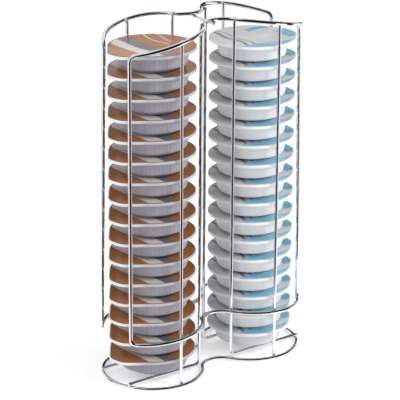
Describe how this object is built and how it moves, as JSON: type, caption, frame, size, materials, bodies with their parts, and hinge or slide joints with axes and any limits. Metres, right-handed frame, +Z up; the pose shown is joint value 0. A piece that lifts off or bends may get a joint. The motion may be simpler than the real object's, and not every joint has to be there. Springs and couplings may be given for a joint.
{
  "type": "coffee capsule dispenser",
  "caption": "Free-standing chromed wire rack that holds two columns of flat disc capsules, loaded from the open top and taken out at the bottom.",
  "frame": {"origin": "centre of the rack on the surface it stands on, at the bottom centre of its bounding box", "axes": "+Z up, +X from the left column to the right column, +Y from the front loop to the rear loop"},
  "size_m": [0.1976, 0.0914, 0.3147],
  "materials": {
    "chromed_wire": "polished",
    "left_capsules": "satin",
    "right_capsules": "satin"
  },
  "bodies": {
    "rack": {"base_ring": "chromed_wire", "front_loop": "chromed_wire", "rear_loop": "chromed_wire", "rail_left_front": "chromed_wire", "rail_left_rear": "chromed_wire", "rail_right_front": "chromed_wire", "rail_right_rear": "chromed_wire", "upright_left_front": "chromed_wire", "upright_left_rear": "chromed_wire", "upright_right_front": "chromed_wire", "upright_right_rear": "chromed_wire", "top_link": "chromed_wire"},
    "left_capsule_01": {"left_capsule_01": "left_capsules"},
    "left_capsule_02": {"left_capsule_02": "left_capsules"},
    "left_capsule_03": {"left_capsule_03": "left_capsules"},
    "left_capsule_04": {"left_capsule_04": "left_capsules"},
    "left_capsule_05": {"left_capsule_05": "left_capsules"},
    "left_capsule_06": {"left_capsule_06": "left_capsules"},
    "left_capsule_07": {"left_capsule_07": "left_capsules"},
    "left_capsule_08": {"left_capsule_08": "left_capsules"},
    "left_capsule_09": {"left_capsule_09": "left_capsules"},
    "left_capsule_10": {"left_capsule_10": "left_capsules"},
    "left_capsule_11": {"left_capsule_11": "left_capsules"},
    "left_capsule_12": {"left_capsule_12": "left_capsules"},
    "left_capsule_13": {"left_capsule_13": "left_capsules"},
    "left_capsule_14": {"left_capsule_14": "left_capsules"},
    "left_capsule_15": {"left_capsule_15": "left_capsules"},
    "left_capsule_16": {"left_capsule_16": "left_capsules"},
    "right_capsule_01": {"right_capsule_01": "right_capsules"},
    "right_capsule_02": {"right_capsule_02": "right_capsules"},
    "right_capsule_03": {"right_capsule_03": "right_capsules"},
    "right_capsule_04": {"right_capsule_04": "right_capsules"},
    "right_capsule_05": {"right_capsule_05": "right_capsules"},
    "right_capsule_06": {"right_capsule_06": "right_capsules"},
    "right_capsule_07": {"right_capsule_07": "right_capsules"},
    "right_capsule_08": {"right_capsule_08": "right_capsules"},
    "right_capsule_09": {"right_capsule_09": "right_capsules"},
    "right_capsule_10": {"right_capsule_10": "right_capsules"},
    "right_capsule_11": {"right_capsule_11": "right_capsules"},
    "right_capsule_12": {"right_capsule_12": "right_capsules"},
    "right_capsule_13": {"right_capsule_13": "right_capsules"},
    "right_capsule_14": {"right_capsule_14": "right_capsules"},
    "right_capsule_15": {"right_capsule_15": "right_capsules"},
    "right_capsule_16": {"right_capsule_16": "right_capsules"}
  },
  "joints": [
    {"name": "left_capsule_01_slide_out", "type": "slide", "parent": "rack", "child": "left_capsule_01", "axis": [-1, 0, 0], "range_m": [0, 0.09]},
    {"name": "left_capsule_02_rise", "type": "slide", "parent": "rack", "child": "left_capsule_02", "axis": [0, 0, 1], "range_m": [0, 0.01815]},
    {"name": "left_capsule_03_rise", "type": "slide", "parent": "rack", "child": "left_capsule_03", "axis": [0, 0, 1], "range_m": [0, 0.01815]},
    {"name": "left_capsule_04_rise", "type": "slide", "parent": "rack", "child": "left_capsule_04", "axis": [0, 0, 1], "range_m": [0, 0.01815]},
    {"name": "left_capsule_05_rise", "type": "slide", "parent": "rack", "child": "left_capsule_05", "axis": [0, 0, 1], "range_m": [0, 0.01815]},
    {"name": "left_capsule_06_rise", "type": "slide", "parent": "rack", "child": "left_capsule_06", "axis": [0, 0, 1], "range_m": [0, 0.01815]},
    {"name": "left_capsule_07_rise", "type": "slide", "parent": "rack", "child": "left_capsule_07", "axis": [0, 0, 1], "range_m": [0, 0.01815]},
    {"name": "left_capsule_08_rise", "type": "slide", "parent": "rack", "child": "left_capsule_08", "axis": [0, 0, 1], "range_m": [0, 0.01815]},
    {"name": "left_capsule_09_rise", "type": "slide", "parent": "rack", "child": "left_capsule_09", "axis": [0, 0, 1], "range_m": [0, 0.01815]},
    {"name": "left_capsule_10_rise", "type": "slide", "parent": "rack", "child": "left_capsule_10", "axis": [0, 0, 1], "range_m": [0, 0.01815]},
    {"name": "left_capsule_11_rise", "type": "slide", "parent": "rack", "child": "left_capsule_11", "axis": [0, 0, 1], "range_m": [0, 0.01815]},
    {"name": "left_capsule_12_rise", "type": "slide", "parent": "rack", "child": "left_capsule_12", "axis": [0, 0, 1], "range_m": [0, 0.01815]},
    {"name": "left_capsule_13_rise", "type": "slide", "parent": "rack", "child": "left_capsule_13", "axis": [0, 0, 1], "range_m": [0, 0.01815]},
    {"name": "left_capsule_14_rise", "type": "slide", "parent": "rack", "child": "left_capsule_14", "axis": [0, 0, 1], "range_m": [0, 0.01815]},
    {"name": "left_capsule_15_rise", "type": "slide", "parent": "rack", "child": "left_capsule_15", "axis": [0, 0, 1], "range_m": [0, 0.01815]},
    {"name": "left_capsule_16_lift_out", "type": "slide", "parent": "left_capsule_15", "child": "left_capsule_16", "axis": [0, 0, 1], "range_m": [0, 0.06]},
    {"name": "right_capsule_01_slide_out", "type": "slide", "parent": "rack", "child": "right_capsule_01", "axis": [1, 0, 0], "range_m": [0, 0.09]},
    {"name": "right_capsule_02_rise", "type": "slide", "parent": "rack", "child": "right_capsule_02", "axis": [0, 0, 1], "range_m": [0, 0.0176]},
    {"name": "right_capsule_03_rise", "type": "slide", "parent": "rack", "child": "right_capsule_03", "axis": [0, 0, 1], "range_m": [0, 0.0176]},
    {"name": "right_capsule_04_rise", "type": "slide", "parent": "rack", "child": "right_capsule_04", "axis": [0, 0, 1], "range_m": [0, 0.0176]},
    {"name": "right_capsule_05_rise", "type": "slide", "parent": "rack", "child": "right_capsule_05", "axis": [0, 0, 1], "range_m": [0, 0.0176]},
    {"name": "right_capsule_06_rise", "type": "slide", "parent": "rack", "child": "right_capsule_06", "axis": [0, 0, 1], "range_m": [0, 0.0176]},
    {"name": "right_capsule_07_rise", "type": "slide", "parent": "rack", "child": "right_capsule_07", "axis": [0, 0, 1], "range_m": [0, 0.0176]},
    {"name": "right_capsule_08_rise", "type": "slide", "parent": "rack", "child": "right_capsule_08", "axis": [0, 0, 1], "range_m": [0, 0.0176]},
    {"name": "right_capsule_09_rise", "type": "slide", "parent": "rack", "child": "right_capsule_09", "axis": [0, 0, 1], "range_m": [0, 0.0176]},
    {"name": "right_capsule_10_rise", "type": "slide", "parent": "rack", "child": "right_capsule_10", "axis": [0, 0, 1], "range_m": [0, 0.0176]},
    {"name": "right_capsule_11_rise", "type": "slide", "parent": "rack", "child": "right_capsule_11", "axis": [0, 0, 1], "range_m": [0, 0.0176]},
    {"name": "right_capsule_12_rise", "type": "slide", "parent": "rack", "child": "right_capsule_12", "axis": [0, 0, 1], "range_m": [0, 0.0176]},
    {"name": "right_capsule_13_rise", "type": "slide", "parent": "rack", "child": "right_capsule_13", "axis": [0, 0, 1], "range_m": [0, 0.0176]},
    {"name": "right_capsule_14_rise", "type": "slide", "parent": "rack", "child": "right_capsule_14", "axis": [0, 0, 1], "range_m": [0, 0.0176]},
    {"name": "right_capsule_15_rise", "type": "slide", "parent": "rack", "child": "right_capsule_15", "axis": [0, 0, 1], "range_m": [0, 0.0176]},
    {"name": "right_capsule_16_lift_out", "type": "slide", "parent": "right_capsule_15", "child": "right_capsule_16", "axis": [0, 0, 1], "range_m": [0, 0.06]}
  ],
  "couplings": [
    {"joint": "left_capsule_03_rise", "follows": "left_capsule_02_rise", "ratio": 1},
    {"joint": "left_capsule_04_rise", "follows": "left_capsule_02_rise", "ratio": 1},
    {"joint": "left_capsule_05_rise", "follows": "left_capsule_02_rise", "ratio": 1},
    {"joint": "left_capsule_06_rise", "follows": "left_capsule_02_rise", "ratio": 1},
    {"joint": "left_capsule_07_rise", "follows": "left_capsule_02_rise", "ratio": 1},
    {"joint": "left_capsule_08_rise", "follows": "left_capsule_02_rise", "ratio": 1},
    {"joint": "left_capsule_09_rise", "follows": "left_capsule_02_rise", "ratio": 1},
    {"joint": "left_capsule_10_rise", "follows": "left_capsule_02_rise", "ratio": 1},
    {"joint": "left_capsule_11_rise", "follows": "left_capsule_02_rise", "ratio": 1},
    {"joint": "left_capsule_12_rise", "follows": "left_capsule_02_rise", "ratio": 1},
    {"joint": "left_capsule_13_rise", "follows": "left_capsule_02_rise", "ratio": 1},
    {"joint": "left_capsule_14_rise", "follows": "left_capsule_02_rise", "ratio": 1},
    {"joint": "left_capsule_15_rise", "follows": "left_capsule_02_rise", "ratio": 1},
    {"joint": "right_capsule_03_rise", "follows": "right_capsule_02_rise", "ratio": 1},
    {"joint": "right_capsule_04_rise", "follows": "right_capsule_02_rise", "ratio": 1},
    {"joint": "right_capsule_05_rise", "follows": "right_capsule_02_rise", "ratio": 1},
    {"joint": "right_capsule_06_rise", "follows": "right_capsule_02_rise", "ratio": 1},
    {"joint": "right_capsule_07_rise", "follows": "right_capsule_02_rise", "ratio": 1},
    {"joint": "right_capsule_08_rise", "follows": "right_capsule_02_rise", "ratio": 1},
    {"joint": "right_capsule_09_rise", "follows": "right_capsule_02_rise", "ratio": 1},
    {"joint": "right_capsule_10_rise", "follows": "right_capsule_02_rise", "ratio": 1},
    {"joint": "right_capsule_11_rise", "follows": "right_capsule_02_rise", "ratio": 1},
    {"joint": "right_capsule_12_rise", "follows": "right_capsule_02_rise", "ratio": 1},
    {"joint": "right_capsule_13_rise", "follows": "right_capsule_02_rise", "ratio": 1},
    {"joint": "right_capsule_14_rise", "follows": "right_capsule_02_rise", "ratio": 1},
    {"joint": "right_capsule_15_rise", "follows": "right_capsule_02_rise", "ratio": 1}
  ]
}
